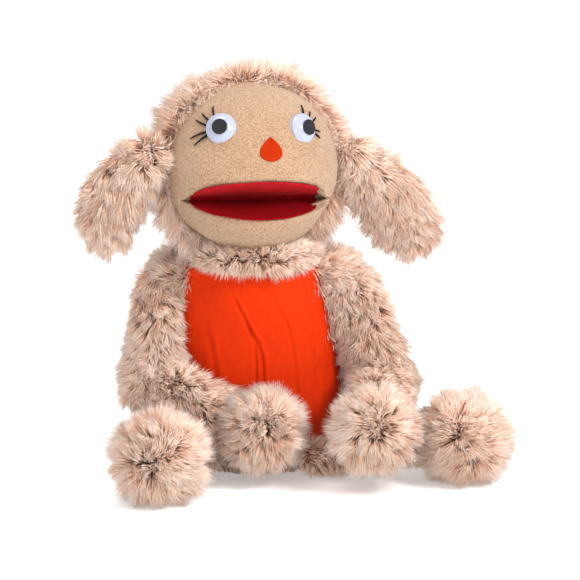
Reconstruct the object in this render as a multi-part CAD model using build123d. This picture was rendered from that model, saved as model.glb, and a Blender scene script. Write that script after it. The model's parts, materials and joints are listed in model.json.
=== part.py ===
from build123d import *
import math
import os

# A seated moving-mouth hand puppet, in millimetres.
# The puppet faces -Y, +Z is up, and +X is its own left-hand side.
# The origin is the centre of the arm opening, on the ground under the torso.

# Head: a ball with its own frame, in which the face looks along -Y
HEAD_CENTRE = (-5, -32, 308)
HEAD_YAW = 13
HEAD_ROLL = 2
BALL_R = 86
FLEECE_T = 3
STUFFING_R = 82.5
HOOD_R = 102
HOOD_INNER_R = 86.6
HOOD_EDGE_Y = 5
HOOD_BASE_Z = -62
HAND_R = 33
HAND_Y = 14

# Mouth: two plates that meet at the fold
FOLD_Y = -25
FOLD_Z = -27
UPPER_ANGLE = 23
LOWER_ANGLE = -8
MOUTH_HALF_W = 65
MOUTH_DEPTH = 74
LINING_GAP = 0.6
LINING_T = 2.4
BOARD_T = 2
BOARD_MARGIN = 3
SKIN = 0.15
LIP_R = 88
TAPE_R = 1.6
CHIN_BACK_ANGLE = -90
THROAT_ANGLE = -118
FOLD_CLEAR = 3

# Hand pockets on the mouth boards
FINGER_POCKET = (88, 46, 20)
THUMB_POCKET = (42, 32, 15)
POCKET_WALL = 1.2
POCKET_START = 5

# Eyes, nose and lashes
EYE_YAW = {-1: 39.5, 1: 32.5}
EYE_RISE = 36
EYE_LOOK_YAW = {-1: 26, 1: 33}
EYE_LOOK_RISE = {-1: 24, 1: 20}
EYE_R = 15.3
EYE_DOME_H = 7.5
EYE_RIM_H = 6
EYE_SEAT_R = 81.5
POST_R = 2.5
POST_L = 6
WASHER_R = 9
WASHER_T = 1.6
PUPIL_R = 7.8
PUPIL_T = 1.2
NOSE_YAW = 1
NOSE_RISE = 22
NOSE_W = 23
NOSE_H = 24
NOSE_T = 1.2
LASH_COUNT = 5
LASH_L = 13
LASH_W = 1.2
LASH_REACH = 26
LASH_START = 15
LASH_STEP = 26

# Ears
EAR_ROOT_X = 116
EAR_ROOT_Z = 16
EAR_ROOT_R = 12.5
RIGHT_EAR_HALF = (29, 15, 54)
LEFT_EAR_HALF = (29, 15, 60)
EAR_SHELL = 5
RIGHT_EAR_DROP = (-26, -38, 14)
LEFT_EAR_DROP = (26, -50, 36)

# Neck
NECK_X = -4
NECK_Y = -22
COLLAR_Z = 206
COLLAR_R = 56
COLLAR_HALF_W = 14
COLLAR_HALF_H = 8
NECK_SLEEVE_R = 32
NECK_SLEEVE_Z = (190, 213)

# Torso: half width, half depth, centre y at each height
TORSO_RINGS = {
    0: (70, 56, 0),
    60: (82, 62, -1),
    120: (82, 60, -5),
    168: (76, 55, -12),
    196: (62, 50, -18),
}
FUR_T = 8
COTTON_T = 1.5
BELLY_FRONT_Y = -26
SLEEVE_R = 43
SLEEVE_TOP_R = 42
SLEEVE_T = 1.5
SLEEVE_TOP_Z = 186
HEM_H = 8
HEM_T = 5

# Limbs: every fur tube is a capsule with a lighter filling
ARM_R = 21
LEG_R = 20
PAW_R = 38
FOOT_R = 44
LIMB_FUR_T = 5
JOINT_CUT = 6
ELBOW_CUT = 10
SOFT_GAP = 1.5
SHOULDER = (100, -14, 176)
RIGHT_ELBOW = (-107, -56, 93)
LEFT_ELBOW = (128, -20, 92)
RIGHT_PAW = (6, -108, 57)
LEFT_PAW = (117, -138, 64)
RIGHT_HIP = (-55, -74, 22)
LEFT_HIP = (60, -74, 22)
RIGHT_FOOT = (-94, -175, FOOT_R)
LEFT_FOOT = (208, -92, FOOT_R)

FAR = 400


def ball(radius, centre=(0, 0, 0)):
    """A full ball."""
    return Pos(*centre) * Sphere(radius)


def shell(outer, inner, centre=(0, 0, 0)):
    """A hollow ball."""
    return ball(outer, centre) - ball(inner, centre)


def capsule(start, end, radius):
    """A round-ended rod between two points."""
    along = Vector(*end) - Vector(*start)
    rod = Plane(origin=start, z_dir=along) * Cylinder(
        radius, along.length, align=(Align.CENTER, Align.CENTER, Align.MIN)
    )
    return rod + ball(radius, start) + ball(radius, end)


def point_between(start, end, share):
    """The point that is this share of the way from start to end."""
    return tuple(a + (b - a) * share for a, b in zip(start, end))


def on_ball(yaw, rise, radius):
    """A point of the head, by its yaw to the puppet's left and its rise above level."""
    level = math.cos(math.radians(rise)) * radius
    return Vector(
        level * math.sin(math.radians(yaw)),
        -level * math.cos(math.radians(yaw)),
        math.sin(math.radians(rise)) * radius,
    )


def place_head(shape):
    """Moves a shape from the head's own frame to where the head sits."""
    return Pos(*HEAD_CENTRE) * Rot(0, 0, HEAD_YAW) * Rot(0, HEAD_ROLL, 0) * shape


def wedge(low_angle, high_angle):
    """The sector round the mouth's fold between two angles above level, right across the head."""
    steps = 5
    points = [(0, 0)]
    for i in range(steps + 1):
        angle = math.radians(low_angle + (high_angle - low_angle) * i / steps)
        points.append((FAR * math.cos(angle), FAR * math.sin(angle)))
    side_view = Plane(origin=(-FAR / 2, FOLD_Y, FOLD_Z), x_dir=(0, -1, 0), z_dir=(-1, 0, 0))
    return extrude(side_view * make_face(Polyline(*points, close=True)), -FAR)


def plate_plane(angle, upper):
    """A mouth plate's plane: y runs out from the fold and z runs away from the mouth."""
    rise = math.sin(math.radians(angle))
    level = math.cos(math.radians(angle))
    side = 1 if upper else -1
    return Plane(origin=(0, FOLD_Y, FOLD_Z), x_dir=(-side, 0, 0), z_dir=(0, side * rise, side * level))


def plate(angle, upper, low, high, margin, ball_r):
    """A D-shaped sheet on a mouth plate, between two heights off the plate's plane."""
    outline = Ellipse(MOUTH_HALF_W - margin, MOUTH_DEPTH) & (
        Pos(0, FAR / 2 + FOLD_CLEAR) * Rectangle(FAR, FAR)
    )
    sheet = extrude(Pos(0, 0, low) * outline, high - low)
    return (plate_plane(angle, upper) * sheet) & ball(ball_r)


def plate_side(angle, upper, height):
    """All the space behind a mouth plate, from this height off its plane."""
    block = Pos(0, 0, height + FAR / 2) * Box(2 * FAR, 2 * FAR, FAR)
    return plate_plane(angle, upper) * block


def lining_top():
    """Height of the lining's back face off the plate's plane."""
    return LINING_GAP + LINING_T


def board_top():
    """Height of the board's back face off the plate's plane."""
    return lining_top() + SKIN + BOARD_T


def mouth_lining(angle, upper):
    return plate(angle, upper, LINING_GAP, lining_top(), 0, LIP_R)


def mouth_board(angle, upper):
    return plate(angle, upper, lining_top() + SKIN, board_top(), BOARD_MARGIN, STUFFING_R - BOARD_MARGIN)


def pocket_block(angle, upper, size, growth):
    """The outside of a hand pocket on a board, grown by a clearance."""
    width, depth, height = size
    block = Pos(0, POCKET_START + depth / 2, board_top() + SKIN + height / 2) * Box(
        width + growth, depth + growth, height + growth
    )
    return plate_plane(angle, upper) * block


def pocket(angle, upper, size):
    """A flat cloth pocket, open towards the fold."""
    width, depth, height = size
    middle = board_top() + SKIN + height / 2
    room = Pos(0, POCKET_START + depth / 2 - POCKET_WALL, middle) * Box(
        width - 2 * POCKET_WALL, depth, height - 2 * POCKET_WALL
    )
    return pocket_block(angle, upper, size, 0) - plate_plane(angle, upper) * room


def hand_space():
    """The hollow for the hand, from the neck up behind the mouth."""
    return Pos(0, HAND_Y, 0) * (Pos(0, 0, -FAR / 4) * Cylinder(HAND_R, FAR / 2) + Sphere(HAND_R))


def jaw_room():
    """The sector that the head leaves free for the mouth and the chin."""
    return wedge(THROAT_ANGLE, UPPER_ANGLE)


def chin_sector():
    """The sector that the chin fills."""
    return wedge(CHIN_BACK_ANGLE, LOWER_ANGLE)


def eye_plane(side):
    """The plane of an eye's base, facing the way that the eye looks."""
    seat = on_ball(side * EYE_YAW[side], EYE_RISE, EYE_SEAT_R)
    look = on_ball(side * EYE_LOOK_YAW[side], EYE_LOOK_RISE[side], 1)
    return Plane(origin=seat, z_dir=look)


def eye_dome(side):
    """A domed cap with a short rim and a post that goes through the fleece."""
    cap_r = (EYE_R**2 + EYE_DOME_H**2) / (2 * EYE_DOME_H)
    cap = Pos(0, 0, EYE_RIM_H + EYE_DOME_H - cap_r) * Sphere(cap_r)
    above_rim = Pos(0, 0, EYE_RIM_H + FAR / 2) * Box(FAR, FAR, FAR)
    rim = Cylinder(EYE_R, EYE_RIM_H, align=(Align.CENTER, Align.CENTER, Align.MIN))
    post = Cylinder(POST_R, POST_L, align=(Align.CENTER, Align.CENTER, Align.MAX))
    flat = Pos(0, 0, EYE_RIM_H + EYE_DOME_H - PUPIL_T / 2 + FAR / 2) * Box(FAR, FAR, FAR)
    return eye_plane(side) * ((cap & above_rim) + rim + post - flat)


def pupil(side):
    """A flat disc on the dome's top."""
    base = EYE_RIM_H + EYE_DOME_H - PUPIL_T / 2 + 0.05
    disc = Pos(0, 0, base) * Cylinder(
        PUPIL_R, PUPIL_T, align=(Align.CENTER, Align.CENTER, Align.MIN)
    )
    return eye_plane(side) * disc


def eye_washer(side):
    """The ring that locks an eye's post behind the fleece."""
    ring = Cylinder(WASHER_R, WASHER_T) - Cylinder(POST_R + 0.1, 2 * WASHER_T)
    return eye_plane(side) * (Pos(0, 0, -POST_L + WASHER_T) * ring)


def eye_hole(side):
    """The space that an eye, its post and its washer take from the fleece and the stuffing."""
    rim = Cylinder(EYE_R + 0.2, 12, align=(Align.CENTER, Align.CENTER, Align.MIN))
    back = Cylinder(WASHER_R + 0.5, POST_L + 1, align=(Align.CENTER, Align.CENTER, Align.MAX))
    return eye_plane(side) * (rim + back)


def face_panel():
    """The fleece over the front of the ball, above the mouth."""
    skin = shell(BALL_R, BALL_R - FLEECE_T)
    front = Pos(0, HOOD_EDGE_Y - FAR / 2 - 0.3, 0) * Box(FAR, FAR, FAR)
    skin = (skin & front) - jaw_room()
    skin = skin & (plate_side(UPPER_ANGLE, True, lining_top() + SKIN) + behind_fold())
    for side in (-1, 1):
        skin = skin - eye_hole(side)
    return skin - hand_space()


def behind_fold():
    """All the space behind the mouth's fold."""
    return Pos(0, FOLD_Y + FAR / 2 + FOLD_CLEAR, 0) * Box(FAR, FAR, FAR)


def head_stuffing():
    """The ball's filling, hollow for the hand and cut away at the mouth."""
    fill = ball(STUFFING_R) - jaw_room() - hand_space()
    fill = fill & (plate_side(UPPER_ANGLE, True, board_top() + SKIN) + behind_fold())
    fill = fill - plate_plane(UPPER_ANGLE, True) * Box(FAR, 24, 2 * board_top() + 1)
    fill = fill - pocket_block(UPPER_ANGLE, True, FINGER_POCKET, 2 * SKIN)
    for side in (-1, 1):
        fill = fill - eye_hole(side)
    return fill


def hood_fur():
    """The fur over the back, top and sides of the head."""
    fur = shell(HOOD_R, HOOD_INNER_R) - jaw_room()
    back = Pos(0, HOOD_EDGE_Y + FAR / 2, HOOD_BASE_Z + FAR / 2) * Box(FAR, FAR, FAR)
    return fur & back


def hinge_tape():
    """The strip of cloth along the mouth's fold."""
    return Pos(0, FOLD_Y, FOLD_Z) * Rot(0, 90, 0) * Cylinder(TAPE_R, 2 * MOUTH_HALF_W - 16)


def nose():
    """A teardrop patch with its point up, on the fleece."""
    low_r = NOSE_W / 2
    tip = NOSE_H - low_r
    half = math.acos(low_r / tip)
    right = (low_r * math.sin(half), low_r * math.cos(half))
    left = (-right[0], right[1])
    outline = make_face(
        [ThreePointArc(left, (0, -low_r), right), Line(right, (0, tip)), Line((0, tip), left)]
    )
    centre = on_ball(NOSE_YAW, NOSE_RISE, BALL_R - 10)
    patch = Plane(origin=centre, x_dir=(1, 0, 0), z_dir=centre) * extrude(outline, 20)
    return patch & shell(BALL_R + 0.1 + NOSE_T, BALL_R + 0.1)


def lashes(side):
    """Five stitched lashes that fan out above and outside an eye."""
    seat = on_ball(side * EYE_YAW[side], EYE_RISE, 1)
    frame = Plane(origin=(0, 0, 0), x_dir=(1, 0, 0), z_dir=seat)
    group = []
    for i in range(LASH_COUNT):
        turn = math.radians(90 - side * (LASH_START + LASH_STEP * i))
        middle = frame.from_local_coords(
            Vector(LASH_REACH * math.cos(turn), LASH_REACH * math.sin(turn), 0)
        )
        out = (middle + seat * BALL_R).normalized()
        along = (middle - out * middle.dot(out)).normalized()
        bar = Box(LASH_L, LASH_W, 20)
        lash = Plane(origin=out * BALL_R, x_dir=along, z_dir=out) * bar
        group.append(lash & shell(BALL_R + 1.1, BALL_R + 0.1))
    return Compound(children=[piece for lash in group for piece in lash.solids()])


def chin_panel():
    """The fleece over the lower jaw."""
    skin = shell(BALL_R, BALL_R - FLEECE_T) & chin_sector()
    skin = skin & plate_side(LOWER_ANGLE, False, lining_top() + SKIN)
    return skin - behind_fold()


def chin_stuffing():
    """The lower jaw's filling, round the thumb pocket."""
    fill = ball(STUFFING_R) & chin_sector()
    fill = fill & plate_side(LOWER_ANGLE, False, board_top() + SKIN)
    fill = fill - behind_fold()
    fill = fill - Pos(0, FOLD_Y, FOLD_Z - 14) * Box(THUMB_POCKET[0] + 1, 16, 28)
    return fill - pocket_block(LOWER_ANGLE, False, THUMB_POCKET, 2 * SKIN)


def ear_flap(halves, inset):
    """An ear's flat drop, made smaller all round by an inset."""
    return scale(Sphere(1), by=tuple(half - inset for half in halves))


def ear_shapes(side, halves, drop):
    """An ear's fur cover and its wadding: a flat drop hung from a round root."""
    dx, dz, lean = drop
    root = (side * EAR_ROOT_X, 0, EAR_ROOT_Z)
    middle = (root[0] + dx, 0, root[2] + dz)
    hang = Pos(*middle) * Rot(0, -side * lean, 0)
    cover = hang * ear_flap(halves, 0) + capsule(root, point_between(root, middle, 0.5), EAR_ROOT_R)
    slit = hang * Pos(0, 0, halves[2]) * Cylinder(4, 30)
    return cover - hang * ear_flap(halves, EAR_SHELL) - slit, hang * ear_flap(halves, EAR_SHELL + SOFT_GAP)


def collar_fur():
    """The fur ring round the neck."""
    section = Pos(COLLAR_R, 0) * Ellipse(COLLAR_HALF_W, COLLAR_HALF_H)
    ring = revolve(Plane.XZ * section, Axis.Z)
    return Pos(NECK_X, NECK_Y, COLLAR_Z) * ring


def neck_sleeve():
    """The cloth tube through the neck."""
    low, high = NECK_SLEEVE_Z
    tube = Cylinder(NECK_SLEEVE_R, high - low) - Cylinder(NECK_SLEEVE_R - SLEEVE_T, 2 * high)
    return Pos(NECK_X, NECK_Y, (low + high) / 2) * tube


def torso_form(inset):
    """The torso's barrel, made smaller all round by an inset."""
    rings = []
    for height, (half_w, half_d, middle) in TORSO_RINGS.items():
        rings.append(Pos(0, middle, height) * Ellipse(half_w - inset, half_d - inset))
    return loft(rings)


def sleeve_form(growth):
    """The slanted tunnel from the base to the neck."""
    base = Pos(0, 0, HEM_H) * Circle(SLEEVE_R + growth)
    top = Pos(NECK_X, NECK_Y, FAR / 2) * Circle(SLEEVE_TOP_R + growth)
    return loft([base, top])


def hem_form(radius):
    """A straight round form at the base of the tunnel."""
    return Pos(0, 0, HEM_H / 2) * Cylinder(radius, HEM_H)


def belly_front():
    """All the space in front of the seam between the cotton and the fur."""
    return Pos(0, BELLY_FRONT_Y - FAR / 2, FAR / 2) * Box(FAR, FAR, FAR)


def torso_fur():
    """The fur over the torso's back and sides."""
    cover = torso_form(0) - torso_form(FUR_T)
    return cover - belly_front()


def belly_panel():
    """The cotton over the torso's front."""
    cover = torso_form(0) - torso_form(COTTON_T)
    return cover & (Pos(0, -0.2, 0) * belly_front())


def belly_wadding():
    """The torso's filling, round the arm tunnel."""
    back = torso_form(FUR_T + 0.3) - belly_front()
    front = torso_form(COTTON_T + 0.3) & belly_front()
    tunnel = sleeve_form(SLEEVE_T + 0.3) + hem_form(SLEEVE_R + HEM_T + 0.5)
    gap = Pos(0, 0, -FAR / 2 + 2) * Box(FAR, FAR, FAR)
    return (back + front) - tunnel - gap


def sleeve_lining():
    """The cloth lining of the arm tunnel."""
    tube = sleeve_form(SLEEVE_T) - sleeve_form(0)
    cap = Pos(0, 0, SLEEVE_TOP_Z + FAR / 2) * Box(FAR, FAR, FAR)
    return tube - cap - Pos(0, 0, HEM_H / 2) * Box(FAR, FAR, HEM_H + 0.4)


def sleeve_hem():
    """The bound edge of the arm opening."""
    return hem_form(SLEEVE_R + HEM_T) - hem_form(SLEEVE_R)


def upper_arm(shoulder, elbow):
    """An upper arm's fur and its filling. Its end is hollowed for the elbow."""
    inner_r = ARM_R - LIMB_FUR_T
    cut = ball(ARM_R + ELBOW_CUT, elbow)
    fur = capsule(shoulder, elbow, ARM_R) - capsule(shoulder, elbow, inner_r) - cut
    filling = capsule(shoulder, elbow, inner_r - SOFT_GAP) - ball(ARM_R + ELBOW_CUT + SOFT_GAP, elbow)
    return fur, filling


def forearm(elbow, paw):
    """A forearm's fur and its filling. Its end is hollowed for the paw."""
    inner_r = ARM_R - LIMB_FUR_T
    cut = ball(PAW_R + JOINT_CUT, paw)
    fur = capsule(elbow, paw, ARM_R) - capsule(elbow, paw, inner_r) - cut
    filling = capsule(elbow, paw, inner_r - SOFT_GAP) - ball(PAW_R + JOINT_CUT + SOFT_GAP, paw)
    return fur, filling


def leg(hip, foot):
    """A leg's fur and its filling. Its end is hollowed for the foot."""
    inner_r = LEG_R - LIMB_FUR_T
    cut = ball(FOOT_R + JOINT_CUT, foot)
    fur = capsule(hip, foot, LEG_R) - capsule(hip, foot, inner_r) - cut
    filling = capsule(hip, foot, inner_r - SOFT_GAP) - ball(FOOT_R + JOINT_CUT + SOFT_GAP, foot)
    return fur, filling


def pompon(centre, towards, radius):
    """A fur ball with an opening on the limb's side, and its filling."""
    inner_r = radius - 2 * LIMB_FUR_T
    mouth = Plane(origin=centre, z_dir=Vector(*towards) - Vector(*centre)) * Cylinder(
        inner_r / 3, 2 * radius, align=(Align.CENTER, Align.CENTER, Align.MIN)
    )
    return shell(radius, inner_r, centre) - mouth, ball(inner_r - SOFT_GAP, centre)


def mirrored(point):
    """The same point on the puppet's right-hand side."""
    return (-point[0], point[1], point[2])


def head_pieces():
    """Everything that moves with the upper head."""
    pieces = {
        "hood_fur": hood_fur(),
        "face_panel": face_panel(),
        "head_stuffing": head_stuffing(),
        "upper_mouth_board": mouth_board(UPPER_ANGLE, True),
        "upper_mouth_lining": mouth_lining(UPPER_ANGLE, True),
        "finger_pocket": pocket(UPPER_ANGLE, True, FINGER_POCKET),
        "mouth_hinge_tape": hinge_tape(),
        "nose": nose(),
    }
    for name, side in (("right", -1), ("left", 1)):
        pieces[f"{name}_eye_dome"] = eye_dome(side)
        pieces[f"{name}_pupil"] = pupil(side)
        pieces[f"{name}_eye_washer"] = eye_washer(side)
        pieces[f"{name}_lashes"] = lashes(side)
    return pieces


def jaw_pieces():
    """Everything that moves with the lower jaw."""
    return {
        "chin_panel": chin_panel(),
        "chin_stuffing": chin_stuffing(),
        "lower_mouth_board": mouth_board(LOWER_ANGLE, False),
        "lower_mouth_lining": mouth_lining(LOWER_ANGLE, False),
        "thumb_pocket": pocket(LOWER_ANGLE, False, THUMB_POCKET),
    }


def ear_pieces():
    right_fur, right_wadding = ear_shapes(-1, RIGHT_EAR_HALF, RIGHT_EAR_DROP)
    left_fur, left_wadding = ear_shapes(1, LEFT_EAR_HALF, LEFT_EAR_DROP)
    return {
        "right_ear_fur": right_fur,
        "right_ear_wadding": right_wadding,
        "left_ear_fur": left_fur,
        "left_ear_wadding": left_wadding,
    }


def torso_pieces():
    return {
        "collar_fur": collar_fur(),
        "neck_sleeve": neck_sleeve(),
        "torso_fur": torso_fur(),
        "belly_panel": belly_panel(),
        "belly_wadding": belly_wadding(),
        "sleeve_lining": sleeve_lining(),
        "sleeve_hem": sleeve_hem(),
    }


def limb_pieces():
    sides = (
        ("right", mirrored(SHOULDER), RIGHT_ELBOW, RIGHT_PAW, RIGHT_HIP, RIGHT_FOOT),
        ("left", SHOULDER, LEFT_ELBOW, LEFT_PAW, LEFT_HIP, LEFT_FOOT),
    )
    pieces = {}
    for name, shoulder, elbow, paw, hip, foot in sides:
        limbs = {
            "upper_arm": upper_arm(shoulder, elbow),
            "forearm": forearm(elbow, paw),
            "paw": pompon(paw, elbow, PAW_R),
            "leg": leg(hip, foot),
            "foot": pompon(foot, hip, FOOT_R),
        }
        for limb, (fur, filling) in limbs.items():
            pieces[f"{name}_{limb}_fur"] = fur
            pieces[f"{name}_{limb}_stuffing"] = filling
    return pieces


def write_pieces(pieces):
    for name, shape in pieces.items():
        export_step(shape, f"parts/{name}.step")


os.makedirs("parts", exist_ok=True)
on_head = {**head_pieces(), **jaw_pieces(), **ear_pieces()}
write_pieces({name: place_head(shape) for name, shape in on_head.items()})
write_pieces(torso_pieces())
write_pieces(limb_pieces())
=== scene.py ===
import json
import math

import bmesh
import bpy
import numpy as np
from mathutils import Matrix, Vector


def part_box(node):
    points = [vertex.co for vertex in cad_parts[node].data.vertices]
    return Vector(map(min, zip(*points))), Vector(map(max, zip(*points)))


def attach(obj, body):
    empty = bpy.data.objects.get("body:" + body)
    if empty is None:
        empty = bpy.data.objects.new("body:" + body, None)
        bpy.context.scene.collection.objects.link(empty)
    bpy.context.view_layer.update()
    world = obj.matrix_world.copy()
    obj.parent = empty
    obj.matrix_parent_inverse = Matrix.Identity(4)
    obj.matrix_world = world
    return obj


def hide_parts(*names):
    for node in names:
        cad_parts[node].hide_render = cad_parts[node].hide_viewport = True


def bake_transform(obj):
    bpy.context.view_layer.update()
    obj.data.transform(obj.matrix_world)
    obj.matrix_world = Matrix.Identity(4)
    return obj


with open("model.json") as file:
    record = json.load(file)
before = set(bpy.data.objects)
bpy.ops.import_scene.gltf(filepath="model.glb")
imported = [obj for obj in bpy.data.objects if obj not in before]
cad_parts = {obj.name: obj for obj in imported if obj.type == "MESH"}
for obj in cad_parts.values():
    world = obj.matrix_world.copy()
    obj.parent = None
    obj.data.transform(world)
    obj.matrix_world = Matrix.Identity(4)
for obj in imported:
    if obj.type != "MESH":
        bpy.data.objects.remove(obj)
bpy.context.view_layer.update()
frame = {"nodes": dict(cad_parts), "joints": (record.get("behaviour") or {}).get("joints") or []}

# ---------------------------------------------------------------- sizes, in metres
MM = 0.001
BALL_R = 86 * MM
FOLD_OFFSET = np.array([0, -25, -27]) * MM
UPPER_ANGLE = math.radians(23)
LOWER_ANGLE = math.radians(-9.2)
MOUTH_HALF_W = 65 * MM
# How square the mouth's outline is. 2 would be an ellipse.
UPPER_POWER = 2.5
LOWER_POWER = 2.05
MOUTH_SHIFT = -3 * MM
HOOD_EDGE_Y = 5 * MM
EYE_YAW = {-1: 39.5, 1: 32.5}
EYE_RISE = 36
NOSE_YAW, NOSE_RISE = 1, 22.9
NOSE_W, NOSE_H, NOSE_T = 23 * MM, 25 * MM, 1.5 * MM

TORSO_Z = np.array([0, 60, 120, 168, 205, 217]) * MM
TORSO_HALF_W = np.array([72, 86, 84, 77, 70, 58]) * MM
TORSO_X = np.array([3, 3, 1, -3, -5, -5]) * MM
TORSO_HALF_D = np.array([56, 62, 60, 55, 50, 42]) * MM
TORSO_Y = np.array([0, -1, -5, -12, -18, -20]) * MM

ARM_SKIN_R = {"right": 20 * MM, "left": 22 * MM}
LEG_SKIN_R = 14 * MM
PAW_SKIN_R = 25 * MM
FOOT_SKIN_R = 29 * MM
FLOOR_GAP = 0.5 * MM
HEM_R = 49 * MM

# Each fur piece's number of strands and its pile's length
PILE = {
    "hood": (18500, 28 * MM),
    "ear": (15000, 25 * MM),
    "collar": (16000, 19 * MM),
    "torso": (24000, 23 * MM),
    "shoulder": (6500, 23 * MM),
    "lap": (5000, 13 * MM),
    "upper_arm": (15500, 22 * MM),
    "forearm": (15500, 22 * MM),
    "paw": (17000, 28 * MM),
    "leg": (5000, 14 * MM),
    "foot": (19000, 29 * MM),
}

record_joints = {j["name"]: j for j in frame["joints"]}


def joint_at(name):
    """Where a joint turns, in the row frame."""
    return np.array(record_joints[name]["pos_m"])


def box_middle(node):
    low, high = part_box(node)
    return np.array((low + high) / 2)


# ---------------------------------------------------------------- the head's own frame
HEAD_X = -np.array(record_joints["jaw_hinge"]["axis"])
HEAD_X /= np.linalg.norm(HEAD_X)
_side = np.cross((0, 0, 1), HEAD_X)
HEAD_Y = _side / np.linalg.norm(_side)
HEAD_Z = np.cross(HEAD_X, HEAD_Y)
HEAD_TURN = np.column_stack([HEAD_X, HEAD_Y, HEAD_Z])
HEAD_CENTRE = joint_at("jaw_hinge") - HEAD_TURN @ FOLD_OFFSET


def from_head(points):
    """Points of the head's frame, in the row frame."""
    return np.asarray(points) @ HEAD_TURN.T + HEAD_CENTRE


def to_head(points):
    """Points of the row frame, in the head's frame."""
    return (np.asarray(points) - HEAD_CENTRE) @ HEAD_TURN


def on_ball(yaw, rise, radius):
    """A point of the head, by its yaw to the puppet's left and its rise above level."""
    a, b = math.radians(yaw), math.radians(rise)
    return radius * np.array([math.sin(a) * math.cos(b), -math.cos(a) * math.cos(b), math.sin(b)])


# ---------------------------------------------------------------- small maths
def unit(v):
    return v / np.maximum(np.linalg.norm(v, axis=-1, keepdims=True), 1e-12)


def smooth_max(a, b, k):
    """The larger of two fields, rounded over a width k."""
    h = np.maximum(k - np.abs(a - b), 0) / k
    return np.maximum(a, b) + h * h * k / 4


def smooth_min(a, b, k):
    return -smooth_max(-a, -b, k)


def step(x, low, high):
    """0 below low, 1 above high, smooth between."""
    t = np.clip((x - low) / (high - low), 0, 1)
    return t * t * (3 - 2 * t)


def hashed(cells, seed):
    """A steady random number from -1 to 1 for each whole-number cell."""
    n = cells[..., 0] * 374761393 + cells[..., 1] * 668265263 + cells[..., 2] * 2147483647 + seed * 144665
    n = (n ^ (n >> 13)) * 1274126177
    n = n ^ (n >> 16)
    return (n & 0xFFFFFF) / float(0x7FFFFF) - 1


def noise(points, size, seed):
    """Smooth value noise from -1 to 1 over cells of the given size."""
    p = np.asarray(points) / size
    base = np.floor(p).astype(np.int64)
    f = p - base
    f = f * f * (3 - 2 * f)
    total = np.zeros(p.shape[:-1])
    for dx in (0, 1):
        for dy in (0, 1):
            for dz in (0, 1):
                share = (
                    (f[..., 0] if dx else 1 - f[..., 0])
                    * (f[..., 1] if dy else 1 - f[..., 1])
                    * (f[..., 2] if dz else 1 - f[..., 2])
                )
                total += share * hashed(base + np.array([dx, dy, dz]), seed)
    return total


def noise_vectors(points, size, seed):
    return np.stack([noise(points, size, seed + i) for i in range(3)], axis=-1)


# ---------------------------------------------------------------- meshes
def make_mesh(name, points, faces, uv=None):
    """An object from vertices and a list of equal-sided face arrays, smooth shaded."""
    mesh = bpy.data.meshes.new(name)
    mesh.vertices.add(len(points))
    mesh.vertices.foreach_set("co", np.asarray(points, np.float32).ravel())
    loops = np.concatenate([np.asarray(f, np.int32).ravel() for f in faces])
    totals = np.concatenate([np.full(len(f), np.asarray(f).shape[1], np.int32) for f in faces])
    mesh.loops.add(len(loops))
    mesh.loops.foreach_set("vertex_index", loops)
    mesh.polygons.add(len(totals))
    mesh.polygons.foreach_set("loop_start", np.concatenate([[0], np.cumsum(totals)[:-1]]).astype(np.int32))
    mesh.polygons.foreach_set("loop_total", totals)
    mesh.polygons.foreach_set("use_smooth", np.ones(len(totals), bool))
    if uv is not None:
        layer = mesh.uv_layers.new(name="OFBake")
        layer.data.foreach_set("uv", np.asarray(uv, np.float32)[loops].ravel())
    mesh.update(calc_edges=True)
    mesh.validate()
    piece = bpy.data.objects.new(name, mesh)
    bpy.context.scene.collection.objects.link(piece)
    return piece


_spheres = {}


def sphere_mesh(level):
    """Directions and triangles of an even ball."""
    if level not in _spheres:
        bm = bmesh.new()
        bmesh.ops.create_icosphere(bm, subdivisions=level, radius=1)
        points = np.array([v.co[:] for v in bm.verts])
        faces = np.array([[v.index for v in f.verts] for f in bm.faces])
        bm.free()
        _spheres[level] = (unit(points), faces)
    return _spheres[level]


def blob(centre, field, level, reach=0.2):
    """A closed surface: where a field crosses zero, seen from an inner point."""
    directions, faces = sphere_mesh(level)
    low = np.zeros(len(directions))
    high = np.full(len(directions), reach)
    for _ in range(26):
        mid = (low + high) / 2
        inside = field(centre + directions * mid[:, None]) < 0
        low = np.where(inside, mid, low)
        high = np.where(inside, high, mid)
    return centre + directions * low[:, None], faces


def normals_of(points, faces):
    """Smooth vertex normals."""
    tri = np.asarray(faces)[:, :3]
    n = np.cross(points[tri[:, 1]] - points[tri[:, 0]], points[tri[:, 2]] - points[tri[:, 0]])
    out = np.zeros_like(points)
    for k in range(np.asarray(faces).shape[1]):
        np.add.at(out, np.asarray(faces)[:, k], n)
    return unit(out)


def roughen(points, faces, size, height, seed):
    """Moves a surface in and out by noise, so that cloth isn't perfectly smooth."""
    return points + normals_of(points, faces) * (noise(points, size, seed) * height)[:, None]


def grid_shell(outer, inner):
    """A closed sheet from two grids of points, outer and inner, joined round the rim."""
    rows, cols = outer.shape[:2]
    count = rows * cols
    index = np.arange(count).reshape(rows, cols)
    a, b, c, d = index[:-1, :-1], index[1:, :-1], index[1:, 1:], index[:-1, 1:]
    top = np.stack([a, d, c, b], axis=-1).reshape(-1, 4)
    bottom = np.stack([a, b, c, d], axis=-1).reshape(-1, 4) + count
    rim = np.concatenate([index[0, :], index[1:, -1], index[-1, -2::-1], index[-2:0:-1, 0]])
    nxt = np.roll(rim, -1)
    side = np.stack([rim, rim + count, nxt + count, nxt], axis=-1)
    points = np.concatenate([outer.reshape(-1, 3), inner.reshape(-1, 3)])
    return points, np.concatenate([top, bottom, side])


def turned(points, faces, way):
    """A shell's faces, turned over if its outer half's normals point against the way given."""
    half = len(points) // 2
    lean = (normals_of(points, faces)[:half] * np.broadcast_to(way, points.shape)[:half]).sum()
    return faces if lean > 0 else faces[:, ::-1]


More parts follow.
